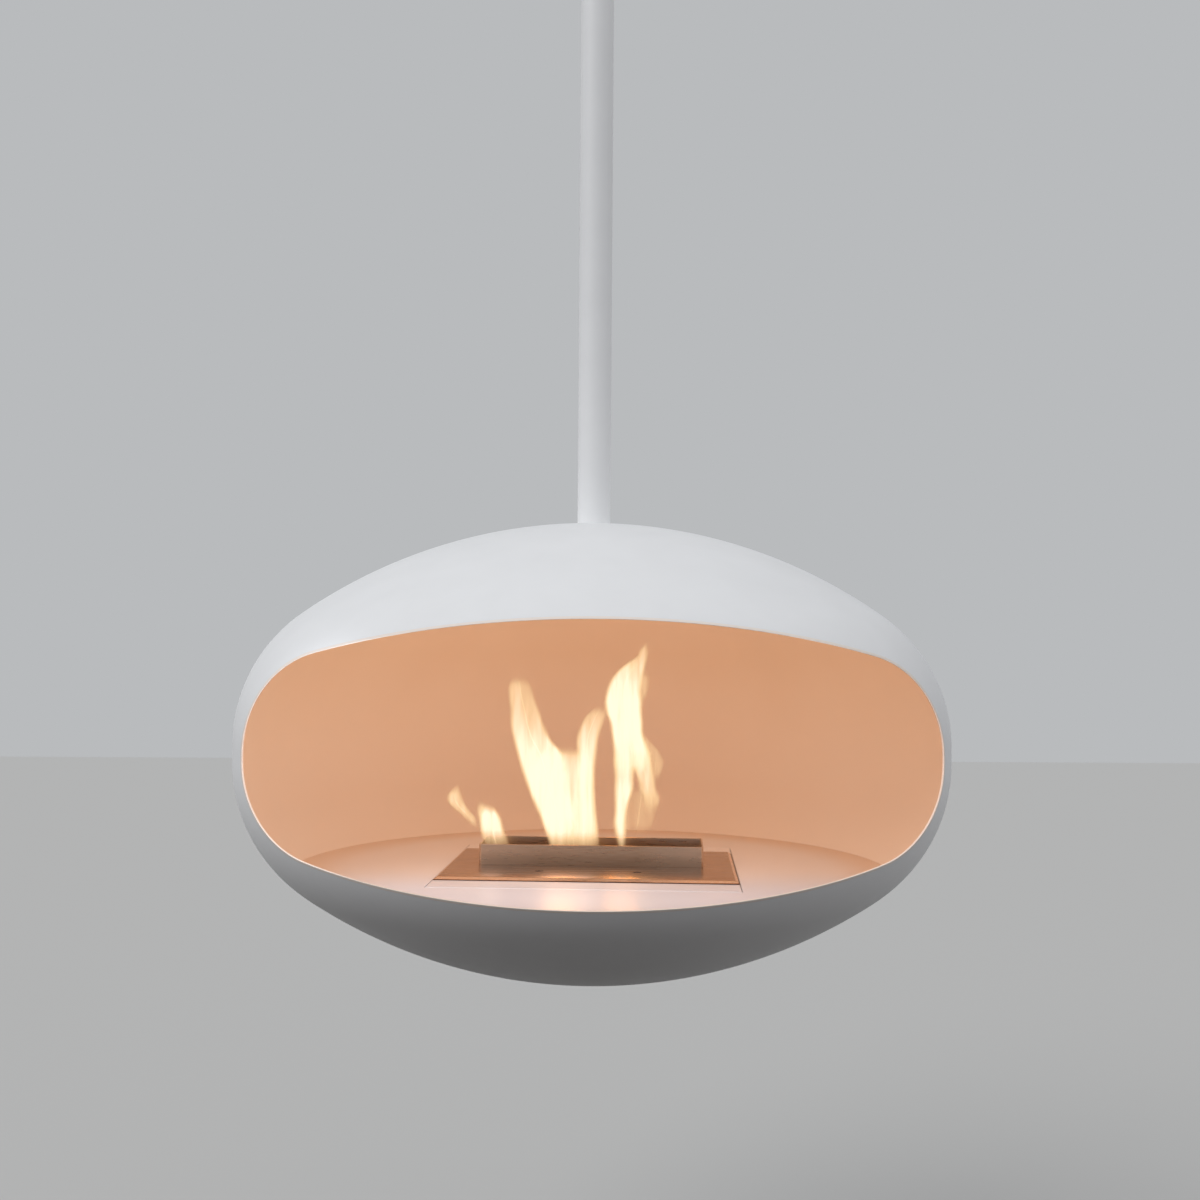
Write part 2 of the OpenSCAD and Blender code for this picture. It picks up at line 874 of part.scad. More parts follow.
module wool_block() {
    color(wool_tone)
        in_floor()
            translate([0, 0, tank_floor_z + sheet_t])
                linear_extrude(mesh_z - tank_floor_z - sheet_t) rounded_plate(wool_w, wool_d, wool_corner_r);
}

module mesh_cover() {
    room = wool_w - 2 * mesh_slot_margin;
    pitch = room / mesh_slots;
    color("dimgray")
        in_floor()
            translate([0, 0, mesh_z])
                linear_extrude(mesh_t)
                    difference() {
                        rounded_plate(wool_w, wool_d, wool_corner_r);
                        for (i = [0 : mesh_slots - 1])
                            translate([(i + 0.5) * pitch - room / 2, 0])
                                square([mesh_slot_w, wool_d - 2 * mesh_slot_margin], center = true);
                    }
}

module damper_rails() {
    web_x = damper_w / 2 + damper_gap;
    color(stainless)
        in_floor()
            for (side = [0, 1])
                mirror([side, 0, 0])
                    translate([0, rail_y, 0]) {
                        translate([web_x, 0, rail_top_z - rail_t])
                            cube([rail_t, rail_len, tray_under_z - rail_top_z + rail_t]);
                        translate([web_x - rail_lip, 0, rail_top_z - rail_t])
                            cube([rail_lip + rail_t, rail_len, rail_t]);
                    }
}

module damper_plate() {
    color(stainless)
        in_floor() {
            translate([-damper_w / 2, damper_back - damper_d, damper_top_z - sheet_t])
                cube([damper_w, damper_d, sheet_t]);
            difference() {
                translate([-lip_w / 2, damper_back - lip_t, damper_top_z - sheet_t])
                    cube([lip_w, lip_t, lip_h + sheet_t]);
                translate([0, damper_back + over, damper_top_z + lip_h - lip_hole_drop]) rotate([90, 0, 0])
                    cylinder(d = lip_hole_d, h = lip_t + 2 * over);
            }
        }
}

ceiling_plate();
swivel_housing();
housing_screws();
guide_bush();
bearing_lower_race();
bearing_balls();
bearing_cage();
bearing_upper_race();
swivel_shaft();
swivel_washer();
swivel_nut();
locking_pin();
ceiling_cover();
cover_collar();
collar_screw();
pole();
pole_foot();
upper_shell();
lower_shell();
liner_upper();
liner_lower();
opening_rim();
crown_clamp();
crown_washer();
crown_nut();
crown_cap();
floor_plate();
floor_brackets();
floor_nuts();
seat_frame();
seat_panel();
burner_tank();
burner_tray();
burner_collar();
wool_block();
mesh_cover();
damper_rails();
damper_plate();
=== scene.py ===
import math

import bmesh
import bpy
import numpy as np
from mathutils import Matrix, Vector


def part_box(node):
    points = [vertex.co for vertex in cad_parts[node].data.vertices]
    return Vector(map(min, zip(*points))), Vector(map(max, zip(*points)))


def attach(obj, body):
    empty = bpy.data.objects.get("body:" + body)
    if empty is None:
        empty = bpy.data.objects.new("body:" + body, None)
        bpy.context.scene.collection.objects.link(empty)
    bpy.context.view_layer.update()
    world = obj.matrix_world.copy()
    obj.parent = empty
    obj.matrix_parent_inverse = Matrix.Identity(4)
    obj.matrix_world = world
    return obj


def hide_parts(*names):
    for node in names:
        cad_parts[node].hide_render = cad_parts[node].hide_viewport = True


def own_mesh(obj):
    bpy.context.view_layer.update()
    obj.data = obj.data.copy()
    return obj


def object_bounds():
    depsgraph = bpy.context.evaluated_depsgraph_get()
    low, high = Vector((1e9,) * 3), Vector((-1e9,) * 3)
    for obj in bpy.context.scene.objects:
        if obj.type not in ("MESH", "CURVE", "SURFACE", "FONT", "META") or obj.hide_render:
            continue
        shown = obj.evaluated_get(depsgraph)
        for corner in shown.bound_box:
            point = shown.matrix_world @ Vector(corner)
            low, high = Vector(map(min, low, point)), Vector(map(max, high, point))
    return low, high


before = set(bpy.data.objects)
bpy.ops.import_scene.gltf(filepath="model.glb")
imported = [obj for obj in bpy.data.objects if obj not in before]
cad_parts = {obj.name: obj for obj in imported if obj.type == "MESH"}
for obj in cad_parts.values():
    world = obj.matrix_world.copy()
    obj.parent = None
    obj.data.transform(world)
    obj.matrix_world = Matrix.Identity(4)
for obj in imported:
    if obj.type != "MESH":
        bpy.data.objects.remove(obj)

cad_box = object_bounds()
MM = 0.001


# Ceiling plate, bearing housing and shaft, and the clamp, brackets, frame, screws, nuts and washers further
# down. They are laser-cut or turned from mild steel and zinc plated, and the plate is bolted to the ceiling.
# Other pieces hide most of them.

def srgb(code):
    """The linear colour of an sRGB hex code, with an alpha of 1."""
    parts = [int(code[i:i + 2], 16) / 255 for i in (1, 3, 5)]
    return [p / 12.92 if p <= 0.04045 else ((p + 0.055) / 1.055) ** 2.4 for p in parts] + [1.0]


def add(tree, kind, inputs={}, **settings):
    """Adds a node. settings are its properties. inputs are its sockets, by name or number: a value is set
    on the socket, and another node's output is linked to it."""
    made = tree.nodes.new(kind)
    for name, value in settings.items():
        setattr(made, name, value)
    for name, value in inputs.items():
        if isinstance(value, bpy.types.NodeSocket):
            tree.links.new(value, made.inputs[name])
        else:
            made.inputs[name].default_value = value
    return made


def new_material(name):
    """A material with an empty tree, and the tree."""
    made = bpy.data.materials.new(name)
    made.use_nodes = True
    made.node_tree.nodes.clear()
    return made, made.node_tree


def finish_nodes(material, *nodes):
    """Gives CAD nodes a material in place of the one that they came with."""
    for name in nodes:
        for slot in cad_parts[name].material_slots:
            slot.material = material


def mix(tree, share, first, second):
    """A colour between two others, by a share from 0 to 1."""
    return add(tree, "ShaderNodeMix", {0: share, 6: first, 7: second}, data_type="RGBA").outputs[2]


def noise(tree, place, size, detail, distortion=0.0):
    """Noise from 0 to 1, whose blotches are about that size in metres."""
    sockets = {"Vector": place, "Scale": 1 / size, "Detail": detail, "Distortion": distortion}
    return add(tree, "ShaderNodeTexNoise", sockets).outputs["Fac"]


def ramp(tree, value, given=(0, 1), wanted=(0, 1), **settings):
    """Carries a value over from the given range to the wanted one, and holds it between that one's ends."""
    sockets = {"Value": value, "From Min": given[0], "From Max": given[1],
               "To Min": wanted[0], "To Max": wanted[1]}
    return add(tree, "ShaderNodeMapRange", sockets, **settings).outputs[0]


def bumps(tree, height, strength, depth):
    """The shading of a surface that a height from 0 to 1 raises by up to that depth in metres."""
    return add(tree, "ShaderNodeBump", {"Height": height, "Strength": strength, "Distance": depth}).outputs[0]


def surface(tree, sockets):
    """Ends a material with a shader that has these sockets set."""
    shader = add(tree, "ShaderNodeBsdfPrincipled", sockets)
    add(tree, "ShaderNodeOutputMaterial", {"Surface": shader.outputs[0]})


# Zinc-plated steel: cool grey with blotches of plating about 7 mm across, and a dull sheen
zinc, tree = new_material("zinc_plated_steel")
place = add(tree, "ShaderNodeTexCoord").outputs["Object"]
blotch = noise(tree, place, 7 * MM, 3.0)
tone = mix(tree, blotch, srgb("#8f9499"), srgb("#b3b7ba"))
rough = ramp(tree, blotch, wanted=(0.32, 0.5))
bump = bumps(tree, noise(tree, place, 0.8 * MM, 2.0), 0.25, 0.05 * MM)
surface(tree, {"Base Color": tone, "Metallic": 1.0, "Roughness": rough, "Normal": bump})
finish_nodes(
    zinc, "ceiling_plate", "swivel_housing", "housing_screws", "swivel_shaft", "swivel_washer", "swivel_nut",
    "locking_pin", "collar_screw", "pole_foot", "crown_clamp", "crown_washer", "crown_nut", "floor_brackets",
    "floor_nuts", "seat_frame",
)


# Thrust bearing between the housing and the shaft: two ground races with twelve balls between them, of
# hardened steel. The housing carries the lower race, and the nut on the shaft rests on the upper one.

# Ground and hardened steel: bright, with fine grinding marks that run round the bearing
ground, tree = new_material("ground_bearing_steel")
place = add(tree, "ShaderNodeTexCoord").outputs["Object"]
marks = add(tree, "ShaderNodeTexWave", {"Vector": place, "Scale": 1 / (6 * MM), "Distortion": 0.4},
            wave_type="RINGS", rings_direction="Z")
rough = ramp(tree, marks.outputs["Fac"], wanted=(0.12, 0.22))
bump = bumps(tree, marks.outputs["Fac"], 0.1, 0.01 * MM)
surface(tree, {"Base Color": srgb("#c3c6c8"), "Metallic": 1.0, "Roughness": rough, "Normal": bump})
finish_nodes(ground, "bearing_lower_race", "bearing_upper_race", "bearing_balls")


# Guide bush pressed into the housing's floor, and the cage that keeps the balls apart. Both are turned
# brass, which runs on the steel shaft without grease.

# Machined brass: warm yellow, with turning marks and a faint dulling in patches
brass, tree = new_material("machined_brass")
place = add(tree, "ShaderNodeTexCoord").outputs["Object"]
dulled = noise(tree, place, 9 * MM, 3.0)
tone = mix(tree, dulled, srgb("#c79a4b"), srgb("#a98242"))
marks = add(tree, "ShaderNodeTexWave", {"Vector": place, "Scale": 1 / (8 * MM), "Distortion": 0.3},
            wave_type="RINGS", rings_direction="Z")
bump = bumps(tree, marks.outputs["Fac"], 0.15, 0.02 * MM)
surface(tree, {"Base Color": tone, "Metallic": 1.0, "Roughness": 0.3, "Normal": bump})
finish_nodes(brass, "guide_bush", "bearing_cage")


# Ceiling cover: a cup spun from 1.5 mm steel and powder coated. It hides the plate and the bearing, and
# slides down the pole when the collar under it is let go.

# Satin powder coat on steel: near white with a hint of grey, an orange peel of about 4 mm (drawn a little
# coarser than the real 2 mm, which is too fine to show) and faint clouds in the gloss
coat, tree = new_material("satin_white_powder_coat")
place = add(tree, "ShaderNodeTexCoord").outputs["Object"]
cloud = noise(tree, place, 60 * MM, 3.0)
tone = mix(tree, cloud, srgb("#eaebec"), srgb("#f1f2f3"))
rough = ramp(tree, cloud, wanted=(0.46, 0.56))
bump = bumps(tree, noise(tree, place, 4 * MM, 1.0), 0.2, 0.06 * MM)
surface(tree, {"Base Color": tone, "Roughness": rough, "IOR": 1.5, "Normal": bump})


def rounded(corners, radii, steps=6):
    """A closed outline of two coordinates a point: at each corner, an arc of that corner's radius that is
    tangent to both sides."""
    corners = np.array(corners, float)
    found = []
    for at, before, after, radius in zip(corners, np.roll(corners, 1, 0), np.roll(corners, -1, 0), radii):
        back, on = (before - at) / np.linalg.norm(before - at), (after - at) / np.linalg.norm(after - at)
        half = math.acos(np.clip(back @ on, -1, 1)) / 2
        middle = at + (back + on) / np.linalg.norm(back + on) * radius / math.sin(half)
        first, last = at + back * radius / math.tan(half) - middle, at + on * radius / math.tan(half) - middle
        share = np.linspace(0, 1, steps + 1)[:, None]
        chord = first * (1 - share) + last * share
        found.append(middle + chord / np.linalg.norm(chord, axis=1, keepdims=True) * radius)
    return np.concatenate(found)


def lathe(profile, steps):
    """A closed profile of radii and heights, turned once round the Z axis."""
    loop = np.concatenate([profile, profile[:1]])
    turn = np.linspace(0, 2 * math.pi, steps + 1)
    x = loop[:, 0, None] * np.cos(turn)
    y = loop[:, 0, None] * np.sin(turn)
    return np.stack([x, y, np.broadcast_to(loop[:, 1, None], x.shape)], -1)


def make_piece(name, grids, material, body, slot, nodes=(), crease=35, **values):
    """A piece that rides on a body. Each grid is an array of rows, columns and xyz, whose neighbours are
    joined by quads. Points that meet are merged, which closes seams and poles, and the faces are turned
    outwards. values are further arrays, one number for each point of the grids, kept as attributes."""
    faces, start = [], 0
    for grid in grids:
        rows, columns = grid.shape[:2]
        index = start + np.arange(rows * columns).reshape(rows, columns)
        quads = [index[:-1, :-1], index[:-1, 1:], index[1:, 1:], index[1:, :-1]]
        faces.append(np.stack(quads, -1).reshape(-1, 4))
        start += rows * columns
    mesh = bpy.data.meshes.new(name)
    mesh.from_pydata(np.concatenate([g.reshape(-1, 3) for g in grids]), [], np.concatenate(faces).tolist())
    for key, value in values.items():
        attribute = mesh.attributes.new(key, "FLOAT", "POINT")
        attribute.data.foreach_set("value", np.ravel(value).astype(np.float32))
    work = bmesh.new()
    work.from_mesh(mesh)
    bmesh.ops.remove_doubles(work, verts=work.verts, dist=0.002 * MM)
    bmesh.ops.recalc_face_normals(work, faces=work.faces)
    work.to_mesh(mesh)
    work.free()
    mesh.shade_smooth()
    mesh.set_sharp_from_angle(angle=math.radians(crease))
    mesh.materials.append(material)
    piece = bpy.data.objects.new(name, mesh)
    bpy.context.scene.collection.objects.link(piece)
    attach(piece, body)
    if nodes:
        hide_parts(*nodes)
    return piece


def ring_section(outer, inner, low, high, edge):
    """Section of a plain ring or tube, with its four edges rounded."""
    return rounded([(outer, low), (outer, high), (inner, high), (inner, low)], [edge] * 4)


low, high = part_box("ceiling_cover")
cover_t = 1.5 * MM
cover_shoulder = 20 * MM
cover_edge = 0.5 * MM
cover_play = 0.3 * MM
hole_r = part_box("pole")[1].x + cover_play
cup = rounded(
    [(high.x, high.z), (high.x, low.z), (hole_r, low.z), (hole_r, low.z + cover_t),
     (high.x - cover_t, low.z + cover_t), (high.x - cover_t, high.z)],
    [cover_edge, cover_shoulder, cover_edge, cover_edge, cover_shoulder - cover_t, cover_edge], steps=10,
)
make_piece("ceiling_cover_cup", [lathe(cup, 160)], coat, "cover", "white_paint", ["ceiling_cover"])


# Collar that holds the cover up against the ceiling: a turned steel ring with one grub screw, powder coated
# like the pole.
finish_nodes(coat, "cover_collar")


# Pole: one welded and ground steel tube of 42.4 mm, powder coated. The swivel shaft is welded into its top
# and the threaded foot into its bottom, and it meets the crown of the pod with no collar, sunk in a little
# so that no gap shows.
low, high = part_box("pole")
pole_t = 2 * MM
pole_edge = 0.3 * MM
pole_sink = 0.4 * MM
tube = ring_section(high.x, high.x - pole_t, low.z - pole_sink, high.z, pole_edge)
make_piece("pole_tube", [lathe(tube, 96)], coat, "pod", "white_paint", ["pole"])


# Pod: two dished shells of 2 mm steel, welded at the equator and ground smooth, then powder coated. The
# wide opening is cut by laser before the coat, so its edge has no seam.

lower_low, lower_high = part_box("lower_shell")
rim_low, rim_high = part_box("opening_rim")
pod_r = lower_high.x
pod_z = lower_high.z
half_h = lower_high.z - lower_low.z
shoulder_r = 198 * MM
half_band = 10 * MM
shell_t = 2 * MM
rim_w = 3 * MM
open_r = {"above": 125 * MM, "below": 107 * MM}
open_half_w = rim_high.x - rim_w
open_h = {"above": rim_high.z - rim_w - pod_z, "below": pod_z - rim_low.z - rim_w}


def arc_radius(half_width, height, corner):
    """Radius of the flat arc that is tangent to a corner arc at each side, over that half width and
    height."""
    return (half_width ** 2 + height ** 2 - 2 * half_width * corner) / (2 * (height - corner))


crown_r = arc_radius(pod_r, half_h - half_band, shoulder_r)
crown_z = half_h - crown_r
shoulder_x = pod_r - shoulder_r
crown_angle = math.atan2(half_band - crown_z, shoulder_x)


def pod_radius(z, inset):
    """The pod's radius at height z from its centre, inset inwards: the straight band, the shoulder's circle
    or the crown's circle."""
    h = np.abs(z)
    shoulder = shoulder_x + np.sqrt(np.maximum((shoulder_r - inset) ** 2 - (h - half_band) ** 2, 0))
    crown = np.sqrt(np.maximum((crown_r - inset) ** 2 - (h - crown_z) ** 2, 0))
    low_enough = h <= crown_z + (crown_r - inset) * math.sin(crown_angle)
    return np.where(h <= half_band, pod_r - inset, np.where(low_enough, shoulder, crown))


def pod_hit(along, up, inset):
    """How far from the pod's centre a ray meets the pod's wall. along and up are the ray's parts across and
    along the pod's axis. It meets the band, the shoulder's circle or the crown's circle."""
    up = np.abs(up)
    band = (pod_r - inset) / np.maximum(along, 1e-9)

    def circle(x, z, radius):
        abreast = along * x + up * z
        return abreast + np.sqrt(np.maximum(abreast * abreast - x * x - z * z + (radius - inset) ** 2, 0))

    shoulder = circle(shoulder_x, half_band, shoulder_r)
    crown = circle(0.0, crown_z, crown_r)
    lean = np.arctan2(shoulder * up - half_band, shoulder * along - shoulder_x)
    return np.where(band * up <= half_band, band, np.where(lean <= crown_angle, shoulder, crown))


def opening_outline(grow, count):
    """x and z of points spread evenly round the opening, which grow widens on every side: each half is a
    corner arc, a flat arc and a corner arc, all tangent. It starts and ends at the right."""
    arcs = []
    for side, sign in (("above", 1), ("below", -1)):
        corner, height = open_r[side], open_h[side]
        flat = arc_radius(open_half_w, height, corner)
        angle = math.atan2(flat - height, open_half_w - corner)
        half = [(open_half_w - corner, 0, corner, 0, angle), (0, height - flat, flat, angle, math.pi - angle),
                (corner - open_half_w, 0, corner, math.pi - angle, math.pi)]
        if sign < 0:
            half = [(x, -z, r, -last, -first) for x, z, r, first, last in half[::-1]]
        arcs += half
    x, z, r, first, last = np.array(arcs).T
    ends = np.concatenate([[0], np.cumsum(r * (last - first))])
    along = np.linspace(0, ends[-1], count + 1)
    arc = np.clip(np.searchsorted(ends, along, side="right") - 1, 0, len(arcs) - 1)
    turn = first[arc] + (along - ends[arc]) / r[arc]
    return x[arc] + (r[arc] + grow) * np.cos(turn), z[arc] + (r[arc] + grow) * np.sin(turn)


def pod_points(x, z, inset):
    """Points on the front of the pod's wall, straight in front of x and z in the opening's plane."""
    return np.stack([x, -np.sqrt(pod_radius(z, inset) ** 2 - x ** 2), z + pod_z], -1)


def pod_skin(grow, inset, columns, rows):
    """The pod's wall at an inset, from the opening's edge back to the point opposite it. A column starts at
    a point of the edge and follows a great arc round the pod's centre, each point where its ray meets the
    wall."""
    edge = pod_points(*opening_outline(grow, columns), inset) - [0, 0, pod_z]
    across = np.hypot(edge[:, 0], edge[:, 2])
    side, rise = edge[:, 0] / across, edge[:, 2] / across
    start = np.arctan2(across, -edge[:, 1])
    swing = start + (math.pi - start) * np.linspace(0, 1, rows)[:, None]
    x, y, z = np.sin(swing) * side, -np.cos(swing), np.sin(swing) * rise
    reach = pod_hit(np.hypot(x, y), z, inset)
    return np.stack([x * reach, y * reach, z * reach + pod_z], -1)


def pod_wall(grow, outer, inner, columns=300, rows=130):
    """A closed wall of the pod between two insets: both skins, and the edge that joins them at the
    opening."""
    skins = [pod_skin(grow, inset, columns, rows) for inset in (outer, inner)]
    return skins + [np.stack([skins[0][0], skins[1][0]])]


make_piece("pod_shell", pod_wall(rim_w, 0, shell_t), coat, "pod", "white_paint",
           ["upper_shell", "lower_shell"])


# Liner: a second pair of dished shells of 1.2 mm steel, just inside the first, that keeps the flames' heat
# off them. It is sprayed with heat-proof paint.

# Matt heat-proof paint: peach, which is the flames' warm light painted into its colour, with a fine spray
# grain of about 3 mm. It turns a little paler towards the floor, which is painted light thrown up from the
# floor.
peach, tree = new_material("flame_lit_peach_paint")
place = add(tree, "ShaderNodeTexCoord").outputs["Object"]
cloud = noise(tree, place, 90 * MM, 3.0)
tone = mix(tree, cloud, srgb("#dcba99"), srgb("#e0c0a0"))
height = add(tree, "ShaderNodeSeparateXYZ", {0: place}).outputs["Z"]
# Painted light thrown up from the floor: the wall turns paler low down
painted_floor_light = ramp(tree, height, (pod_z + 0.12, pod_z - 0.15))
tone = mix(tree, painted_floor_light, tone, srgb("#ead3bd"))
bump = bumps(tree, noise(tree, place, 3 * MM, 2.0), 0.25, 0.08 * MM)
surface(tree, {"Base Color": tone, "Roughness": 0.6, "IOR": 1.45, "Normal": bump})

skin_gap = 0.5 * MM
liner_t = 1.2 * MM
skin_t = shell_t + skin_gap + liner_t
make_piece("pod_liner", pod_wall(rim_w, shell_t + skin_gap, skin_t), peach, "pod", "inner_paint",
           ["liner_upper", "liner_lower"])


# Rim: a narrow steel strip that closes the edge between the shells and the liner. It is welded and ground,
# so that the eye sees one rounded edge, coated like the pod. Its upper edge carries painted shade.

# The pod's powder coat, with the flames' warm light painted in as a creamy tone, and painted shade in
# grey-brown on the inner half of the upper edge, which faces down
edge_coat, tree = new_material("flame_lit_shaded_edge_coat")
place = add(tree, "ShaderNodeTexCoord").outputs["Object"]
inward = add(tree, "ShaderNodeAttribute", attribute_name="inward").outputs["Fac"]
wavy = noise(tree, place, 25 * MM, 1.0)
wavy = ramp(tree, wavy, wanted=(-0.06, 0.06))
half_way = add(tree, "ShaderNodeMath", {0: inward, 1: wavy}, operation="ADD")
inner_half = ramp(tree, half_way.outputs[0], (0.44, 0.56))
height = add(tree, "ShaderNodeSeparateXYZ", {0: place}).outputs["Z"]
upper = ramp(tree, height, (pod_z - 0.01, pod_z + 0.07))
# Painted shade on the inner half of the upper edge, which faces down
painted_edge_shade = add(tree, "ShaderNodeMath", {0: inner_half, 1: upper}, operation="MULTIPLY")
tone = mix(tree, painted_edge_shade.outputs[0], srgb("#f1e7de"), srgb("#b3927c"))
bump = bumps(tree, noise(tree, place, 4 * MM, 1.0), 0.2, 0.05 * MM)
surface(tree, {"Base Color": tone, "Roughness": 0.5, "IOR": 1.5, "Normal": bump})

rim_columns = 600
rim_edge = 0.7 * MM
joint_edge = 0.1 * MM
section = rounded([(rim_w, 0), (0, 0), (0, skin_t), (rim_w, skin_t)],
                  [joint_edge, rim_edge, rim_edge, joint_edge])
section = np.concatenate([section, section[:1]])
strip = np.stack([pod_points(*opening_outline(grow, rim_columns), inset) for grow, inset in section])
inward = np.repeat(section[:, 1] / skin_t, rim_columns + 1)
make_piece("opening_strip", [strip], edge_coat, "pod", "white_paint", ["opening_rim"], inward=inward)


# Crown fixing: a dished clamp plate, a washer and a nut pull the pod up against the pole's foot. A cap
# painted like the liner covers the nut.
finish_nodes(peach, "crown_cap")


# Floor plate and seat panel: 2 mm steel plates, laser cut, that lie in the pod under the burner. The panel
# lifts out with the burner. A low bead pressed along its front edge stiffens it, and shows as a fine line.

# Pale heat-proof paint, smoother than the wall's: white at the front with enough gloss to mirror the flames
# softly, with the flames' warm light painted in towards the back, and the wall's painted flame-lit peach
# blended in over its outer 80 mm, so that hardly a line shows where the floor meets the wall
pale, tree = new_material("pale_heatproof_paint")
place = add(tree, "ShaderNodeTexCoord").outputs["Object"]
depth = add(tree, "ShaderNodeSeparateXYZ", {0: place}).outputs["Y"]
painted_flame_light = ramp(tree, depth, (-0.2, 0.0), interpolation_type="SMOOTHSTEP")
flat = add(tree, "ShaderNodeVectorMath", {0: place, 1: (1, 1, 0)}, operation="MULTIPLY").outputs[0]
from_axis = add(tree, "ShaderNodeVectorMath", {0: flat}, operation="LENGTH").outputs["Value"]
painted_wall_light = ramp(tree, from_axis, (0.3, 0.378), interpolation_type="SMOOTHSTEP")
cloud = noise(tree, place, 80 * MM, 3.0)
tone = mix(tree, cloud, srgb("#d0cfd5"), srgb("#d5d4da"))
# Painted light: the flames' warm glow towards the back, and the wall's flame-lit peach near the edge
tone = mix(tree, painted_flame_light, tone, srgb("#e6d9d0"))
tone = mix(tree, painted_wall_light, tone, srgb("#dfc2a9"))
bump = bumps(tree, noise(tree, place, 3 * MM, 2.0), 0.15, 0.05 * MM)
surface(tree, {"Base Color": tone, "Roughness": 0.3, "IOR": 1.5, "Normal": bump})
finish_nodes(pale, "floor_plate")

floor_turn = math.radians(-4)
floor_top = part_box("floor_plate")[1].z
floor_t = 2 * MM
panel_half_w = 185 * MM
panel_y = (-178.5 * MM, 186.5 * MM)
well_half_w = 167.5 * MM
well_half_d = 117 * MM
bead_h = 0.5 * MM
bead_w = 4 * MM
bead_runout = 12 * MM
edge_drop = 0.25 * MM


def on_floor(x, y, z):
    """A grid in the burner's own directions, turned with the floor about the pod's axis."""
    x, y, z = np.broadcast_arrays(x, y, z)
    return np.stack([x * math.cos(floor_turn) - y * math.sin(floor_turn),
                     x * math.sin(floor_turn) + y * math.cos(floor_turn), z], -1)


def panel_rows():
    """Rectangles from the well's lower edge, over the top and the bead (a raised cosine across its width,
    which runs out round the front corners), to the panel's outer lower edge and back."""
    inset = np.linspace(bead_w, 0, 13)
    height = bead_h * (1 - np.cos(2 * math.pi * inset / bead_w)) / 2 - edge_drop * (inset == 0)
    rows = [(well_half_w, -well_half_d, well_half_d, -floor_t), (well_half_w, -well_half_d, well_half_d, 0)]
    rows += [(panel_half_w - i, panel_y[0] + i, panel_y[1] - i, h) for i, h in zip(inset, height)]
    rows += [(panel_half_w, *panel_y, -floor_t), rows[0]]
    half, front, back, z = np.array(rows).T
    runout = front + bead_runout
    x = np.stack([half, half, half, -half, -half, -half, half], 1)
    y = np.stack([front, runout, back, back, runout, front, front], 1)
    z = np.minimum(z, 0)[:, None] + np.maximum(z, 0)[:, None] * np.array([1, 0, 0, 0, 0, 1, 1])
    return on_floor(x, y, z + floor_top)


make_piece("seat_panel_beaded", [panel_rows()], pale, "pod", "inner_paint", ["seat_panel"])


# Burner: tank, tray, rails and damper, folded and welded from 1.5 mm stainless steel, and a collar of 2 mm
# steel round the flame slot. The tray's edges slope down to the floor.


def long_noise(tree, place, sizes, detail, turn=0.0):
    """Noise from 0 to 1 that is stretched, with a size in metres along each axis. The turn is made after
    the stretch, so that it only gives another pattern."""
    scales = [1 / size for size in sizes]
    stretched = add(tree, "ShaderNodeMapping", {"Vector": place, "Rotation": (0, 0, turn), "Scale": scales})
    return noise(tree, stretched.outputs[0], 1.0, detail)


# Brushed stainless steel: a warm grey with a little heat tint, and brush lines from side to side about 1 mm
# apart, which draw the flames' mirror images out. The folded edges carry a painted highlight at the top and
# painted shade low down.
steel, tree = new_material("brushed_stainless_steel")
place = add(tree, "ShaderNodeTexCoord").outputs["Object"]
lines = long_noise(tree, place, (200 * MM, 1 * MM, 1 * MM), 2.0, -floor_turn)
tint = noise(tree, place, 90 * MM, 1.0)
warm = mix(tree, tint, srgb("#b59c8e"), srgb("#a48a7c"))
tone = mix(tree, lines, warm, srgb("#bfaca0"))
down = add(tree, "ShaderNodeAttribute", attribute_name="down_the_fold").outputs["Fac"]
# Painted highlight at the top of the folds, and painted shade low down on them
painted_fold_highlight = ramp(tree, down, (0.05, 0.2))
painted_fold_shade = ramp(tree, down, (0.72, 0.85))
tone = mix(tree, painted_fold_highlight, tone, srgb("#ead9cf"))
tone = mix(tree, painted_fold_shade, tone, srgb("#6a4a3a"))
rough = ramp(tree, lines, wanted=(0.2, 0.32))
bump = bumps(tree, lines, 0.9, 0.25 * MM)
surface(tree, {"Base Color": tone, "Metallic": 1.0, "Roughness": rough, "Normal": bump})
finish_nodes(steel, "burner_tank", "damper_rails", "damper_plate")

tray_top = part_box("burner_tray")[1].z
tray_half_w = 179 * MM
tray_half_d = 120.5 * MM
sheet_t = 1.5 * MM
slot_half_w = 139.5 * MM
slot_y_range = (-19.5 * MM, 57.5 * MM)
lift_hole_r = 5 * MM
lift_hole_x = 61 * MM
lift_hole_y = -71.5 * MM
square_half = 20 * MM
fold_drop = 4 * MM
# Painted shade: most of the fold's right side is drawn darker
shaded_side_from = tray_half_w - 4 * MM
side_shade_gain = 3

# Section of the folded edge: millimetres out from the flat sheet and up from its top
skirt = [(0, 0), (0.5, -0.1), (1, -0.4), (6, -3.7), (6, -4), (5.2, -4), (0.5, -1.7), (0, -1.5)]

# Grid lines of the flat sheet: its edges, the slot's, and steps over the square round each lifting hole
square_steps = np.linspace(-square_half, square_half, 9)
across_lines = np.sort(np.concatenate([
    [-tray_half_w, -slot_half_w, slot_half_w, tray_half_w],
    square_steps - lift_hole_x, square_steps + lift_hole_x,
]))
deep_lines = np.sort(np.concatenate([[-tray_half_d, *slot_y_range, tray_half_d], square_steps + lift_hole_y]))


def lines_between(lines, first, last):
    """The grid lines from first to last."""
    return lines[(lines >= first - 1e-6) & (lines <= last + 1e-6)]


